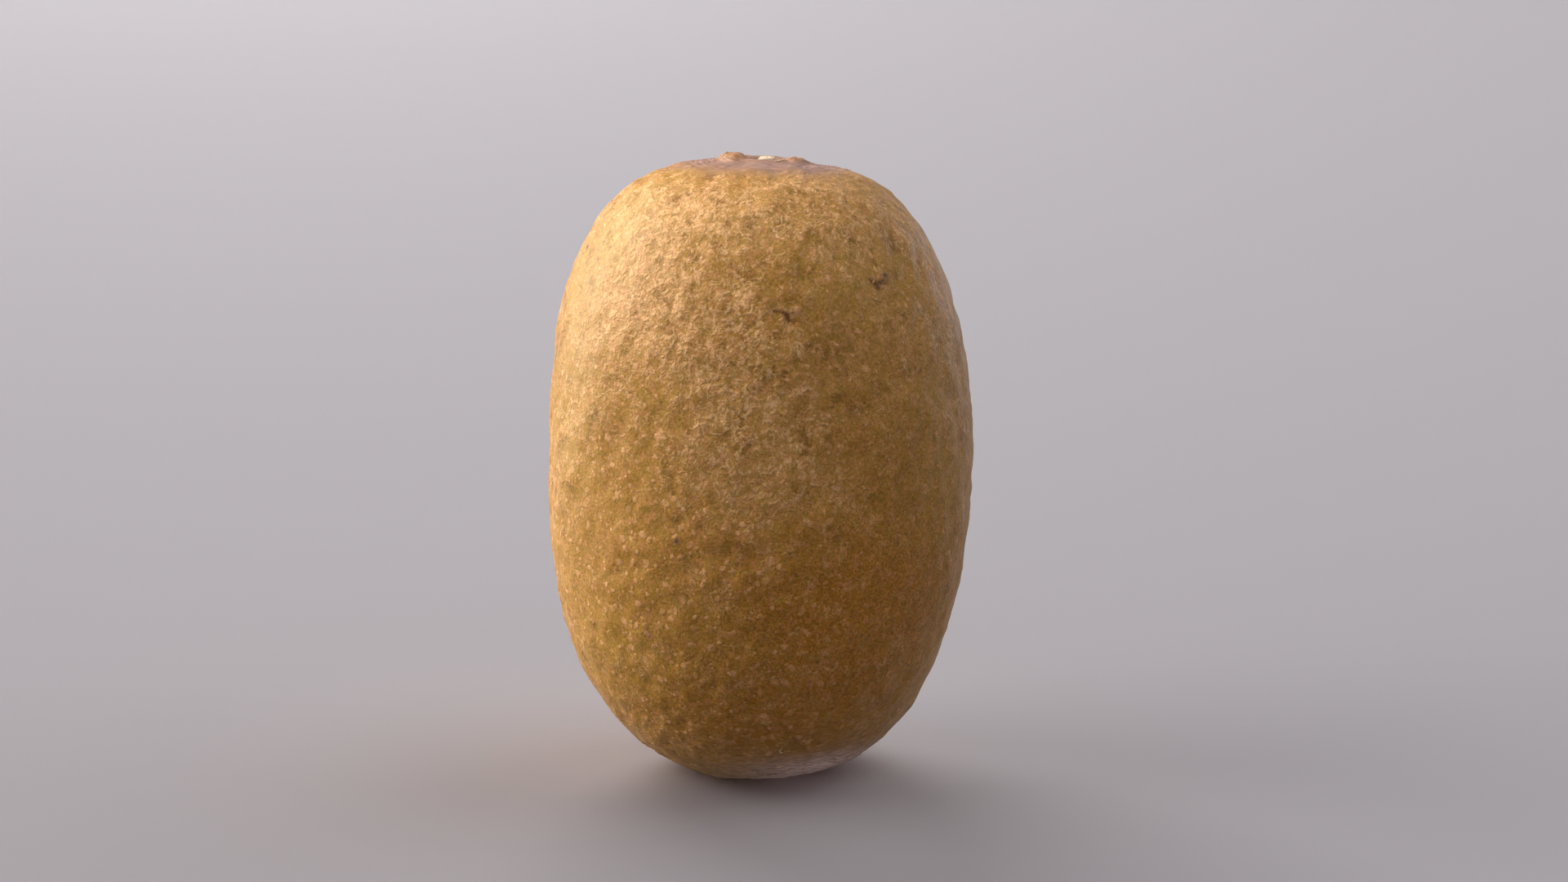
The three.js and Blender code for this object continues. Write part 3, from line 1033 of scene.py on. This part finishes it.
def build_sepals(look):
    """Tatters of dry sepal: tapered strands that start on the two high stumps and curl outwards."""
    rng = np.random.default_rng(72)
    each = 4
    at, radius, turn, width, _ = (np.repeat(column, each) for column in np.array(STUMPS[:2]).T)
    azimuth = at + turn * rng.uniform(-0.95, 0.95, len(at))
    distance = radius + width * rng.uniform(-0.75, 0.1, len(at))
    length = rng.uniform(0.3, 0.65, len(at))
    along = np.linspace(0, 1, 7)
    outward = distance[:, None] + length[:, None] * along
    swing = rng.normal(0, 5, len(at))[:, None] * along
    surface, _, out = skin_at(latitude_out(outward, True), azimuth[:, None] + swing)
    lift = rng.uniform(0.0, 0.03, len(at))[:, None] * np.sin(along * math.pi * 0.8)
    paths = surface + out * lift[..., None]
    radii = rng.uniform(0.04, 0.06, len(at))[:, None] * (0.25 + 0.75 * np.sin(along * math.pi * 0.85 + 0.3))
    material = dry_material("dry sepal", look.cork, look.tan, 0.35, 0.7)
    mesh_piece("sepal_tatters", *tubes(paths, radii), material)


def build_bundles(look):
    """The cut ends of the stem's bundles: a ring of small pale domes on the wall of the cup."""
    rng = np.random.default_rng(73)
    count = 26
    azimuth = np.arange(count) * TURN / count + rng.normal(0, 3, count)
    latitude = latitude_out(2.75 + rng.normal(0, 0.12, count), True)
    size = rng.uniform(0.06, 0.12, count)
    points, faces, _, _, _ = domes(latitude, azimuth, size, 0.6 * size, rng.uniform(0, 6, count))
    mesh_piece("bundles", points, faces, dry_material("cut bundles", look.cork, look.tan, 0.3, 0.7))


def build_styles(look):
    """The dried styles: thin dark strands that spread from the crown over the dimple."""
    rng = np.random.default_rng(74)
    count = 34
    azimuth = np.arange(count) * TURN / count + rng.normal(0, 5, count)
    along = np.linspace(0, 1, 9)
    start = rng.uniform(0.3, 1.0, count)
    distance = start[:, None] + rng.uniform(1.0, 1.9, count)[:, None] * along
    swing = rng.normal(0, 26, count)[:, None] * along**2
    surface, _, out = skin_at(latitude_out(distance, False), azimuth[:, None] + swing)
    lift = 0.05 + rng.uniform(0.05, 0.3, count)[:, None] * np.sin(along * math.pi)
    radii = rng.uniform(0.07, 0.12, count)[:, None] * np.linspace(1.2, 0.5, 9)
    paths = surface + out * lift[..., None]
    paths[..., 2] = np.maximum(paths[..., 2], 0.03 + radii)
    material = dry_material("dried styles", look.dark, look.dry, 0.4, 0.65)
    mesh_piece("styles", *tubes(paths, radii), material)


def build_threads(look):
    """Loose pale hairs that catch the light, each a thin curl that stands a little off the skin."""
    azimuth, height, heading, bend, length = np.array(THREADS).T
    rows, turns = strands(latitude_at(height), azimuth, heading, bend, length, 8)
    surface, _, out = skin_at(rows, turns)
    along = np.linspace(0, 1, 9)
    paths = surface + out * (0.03 + 0.08 * np.sin(along * math.pi))[:, None]
    radii = np.full((len(azimuth), 1), 0.06) * (0.35 + 0.65 * np.sin(along * math.pi))
    material = dry_material("loose hairs", look.thread, look.tan, 0.6, 0.6)
    mesh_piece("loose_hairs", *tubes(paths, radii), material)


class KIWI_OT_skin(Operator):
    """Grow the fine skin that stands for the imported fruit."""

    bl_idname = "kiwi.skin"
    bl_label = "Skin"

    def execute(self, context):
        build_skin(context.scene.kiwi)
        return {"FINISHED"}


class KIWI_OT_lenticels(Operator):
    """Raise the lenticels."""

    bl_idname = "kiwi.lenticels"
    bl_label = "Lenticels"

    def execute(self, context):
        build_lenticels(context.scene.kiwi)
        return {"FINISHED"}


class KIWI_OT_fuzz(Operator):
    """Lay the rubbed fuzz on the skin."""

    bl_idname = "kiwi.fuzz"
    bl_label = "Fuzz"

    def execute(self, context):
        for name, setting, *form in FIBRES:
            build_fibres(name, getattr(context.scene.kiwi, setting), *form)
        return {"FINISHED"}


class KIWI_OT_scars(Operator):
    """Add the healed wounds and dents."""

    bl_idname = "kiwi.scars"
    bl_label = "Scars"

    def execute(self, context):
        build_scars()
        return {"FINISHED"}


class KIWI_OT_stem_scar(Operator):
    """Finish the stem scar with torn pith, cut bundles and tatters of dry sepal."""

    bl_idname = "kiwi.stem_scar"
    bl_label = "Stem Scar"

    def execute(self, context):
        look = context.scene.kiwi.skin
        build_pith(look)
        build_sepals(look)
        build_bundles(look)
        return {"FINISHED"}


class KIWI_OT_styles(Operator):
    """Spread the dried styles over the blossom end."""

    bl_idname = "kiwi.styles"
    bl_label = "Styles"

    def execute(self, context):
        build_styles(context.scene.kiwi.skin)
        return {"FINISHED"}


class KIWI_OT_threads(Operator):
    """Add the loose pale hairs."""

    bl_idname = "kiwi.threads"
    bl_label = "Loose Hairs"

    def execute(self, context):
        build_threads(context.scene.kiwi.skin)
        return {"FINISHED"}


# The stage
# ------------------------------------------------------------

# The camera, in millimetres and degrees.
VIEW = {"x": 2.75, "y": -263.4, "z": 79.7, "pitch": 8.75, "field": 22.0}
IMAGE = (1920, 1080)
SENSOR = 36.0
BOWL = {"flat": 120.0, "sweep": 1500.0, "reach": 2200.0, "rings": 80, "columns": 96}
AIM = 36.0  # the height that the lights look at
WORLD = {"colour": "#F4F4F8", "strength": 0.03}
FRUIT_LIGHT = (600, 320, "fruit pieces", False)
# Name, azimuth, elevation, watts, colour, distance, size, what each lights, whether all things block it.
LIGHTS = (
    ("rear", 75, 45, 0.35, "#E8EEFF", *FRUIT_LIGHT),
    ("low back", 155, 12, 3.1, "#FFF8E9", *FRUIT_LIGHT),
    ("high back", 148, 45, 2.3, "#FFF8E9", *FRUIT_LIGHT),
    ("low left", 175, 12, 1.45, "#FFF8E9", *FRUIT_LIGHT),
    ("key", 185, 38, 4.65, "#FFF8E9", *FRUIT_LIGHT),
    ("front", 235, 15, 0.68, "#FFF8E9", *FRUIT_LIGHT),
    ("top", 270, 78, 1.78, "#FFF8E9", *FRUIT_LIGHT),
    ("right", 335, 32, 0.72, "#FFFBF9", *FRUIT_LIGHT),
    ("rim", 47, 12, 0.62, "#E6EEFF", *FRUIT_LIGHT),
    ("glow", 80, -50, 0.42, "#FFF2E4", *FRUIT_LIGHT),
    ("backdrop rear", 110, 25, 10.0, "#FFFDFB", 1200, 900, "backdrop", True),
    ("backdrop left", 180, 25, 8.8, "#FFFDFB", 1500, 1200, "backdrop", True),
    ("backdrop right", 20, 50, 4.5, "#FFFDFB", 1200, 1200, "backdrop", True),
)


def stand(data, place, down, turn):
    """Puts a camera or a light at a place in millimetres, facing degrees down and turned degrees from +Y."""
    thing = bpy.data.objects.new(data.name, data)
    thing.location = (np.array(place) * MM).tolist()
    thing.rotation_euler = (math.radians(90 - down), 0, math.radians(turn))
    bpy.context.scene.collection.objects.link(thing)
    return thing


def build_camera():
    """The camera, whose vertical field of view sets the lens."""
    data = bpy.data.cameras.new("camera")
    data.sensor_width = SENSOR
    focal = IMAGE[1] / 2 / math.tan(math.radians(VIEW["field"] / 2))
    data.lens = SENSOR * focal / IMAGE[0]
    data.clip_start = 0.01
    place = (VIEW["x"], VIEW["y"], VIEW["z"])
    bpy.context.scene.camera = stand(data, place, VIEW["pitch"], 0)


def build_floor(look):
    """A round floor with a flat middle that sweeps up all round.

    Past its flat it rises by the distance squared over twice its sweep.
    """
    columns = BOWL["columns"]
    run = BOWL["reach"] * np.linspace(0, 1, BOWL["rings"]) ** 1.5
    rise = np.maximum(0, run - BOWL["flat"]) ** 2 / (2 * BOWL["sweep"])
    around = np.linspace(0, 2 * math.pi, columns, endpoint=False)
    out = run[1:, None]
    rings = np.stack([out * np.cos(around), out * np.sin(around), rise[1:, None] + 0 * around], -1)
    points = np.concatenate([[[0.0, 0.0, 0.0]], rings.reshape(-1, 3)])
    graph = Graph("matt paper")
    paper = graph.finish(look.floor, 0.9, {"Specular IOR Level": 0.1})
    faces = (fan(columns, 0, 1), bands(len(rings), columns, 1))
    floor = new_object("floor", points, faces, paper, "backdrop")


def build_light(name, azimuth, elevation, power, colour, distance, size, lit, blocked):
    """A square area light that is aimed at the middle of the fruit and lights one collection."""
    data = bpy.data.lights.new(name, "AREA")
    data.size = size * MM
    data.energy = power
    data.color = linear(colour)[:3]
    a, e = math.radians(azimuth), math.radians(elevation)
    aim = np.array([math.cos(a) * math.cos(e), math.sin(a) * math.cos(e), math.sin(e)])
    light = stand(data, aim * distance + np.array([0, 0, AIM]), elevation, azimuth + 90)
    light.visible_camera = False
    light.light_linking.receiver_collection = bpy.data.collections[lit]
    if not blocked:
        light.light_linking.blocker_collection = bpy.data.collections[lit]


class KIWI_OT_stage(Operator):
    """Set up the floor, the lights and the camera."""

    bl_idname = "kiwi.stage"
    bl_label = "Stage"

    def execute(self, context):
        build_camera()
        build_floor(context.scene.kiwi.stage)
        for light in LIGHTS:
            build_light(*light)
        world = bpy.data.worlds.new("soft room")
        context.scene.world = world
        world.use_nodes = True
        sky = world.node_tree.nodes["Background"].inputs
        sky["Color"].default_value = linear(WORLD["colour"])
        sky["Strength"].default_value = WORLD["strength"]
        context.scene.view_settings.view_transform = "Standard"
        return {"FINISHED"}


PIECES = (
    KIWI_OT_skin,
    KIWI_OT_lenticels,
    KIWI_OT_fuzz,
    KIWI_OT_scars,
    KIWI_OT_stem_scar,
    KIWI_OT_styles,
    KIWI_OT_threads,
    KIWI_OT_stage,
)


class KIWI_PT_pieces(Panel):
    """Lists the pieces of the fruit."""

    bl_label = "Kiwi Fruit"
    bl_idname = "KIWI_PT_pieces"
    bl_space_type = "VIEW_3D"
    bl_region_type = "UI"
    bl_category = "Kiwi Fruit"

    def draw(self, context):
        for piece in PIECES:
            self.layout.operator(piece.bl_idname)


CLASSES = (SkinLook, StageLook, KiwiSettings, *PIECES, KIWI_PT_pieces)


def register():
    for cls in CLASSES:
        bpy.utils.register_class(cls)
    bpy.types.Scene.kiwi = PointerProperty(type=KiwiSettings)


def unregister():
    del bpy.types.Scene.kiwi
    for cls in reversed(CLASSES):
        bpy.utils.unregister_class(cls)


def main():
    """Builds every piece in order."""
    register()
    for piece in PIECES:
        group, name = piece.bl_idname.split(".")
        getattr(getattr(bpy.ops, group), name)()


if __name__ == "__main__":
    main()
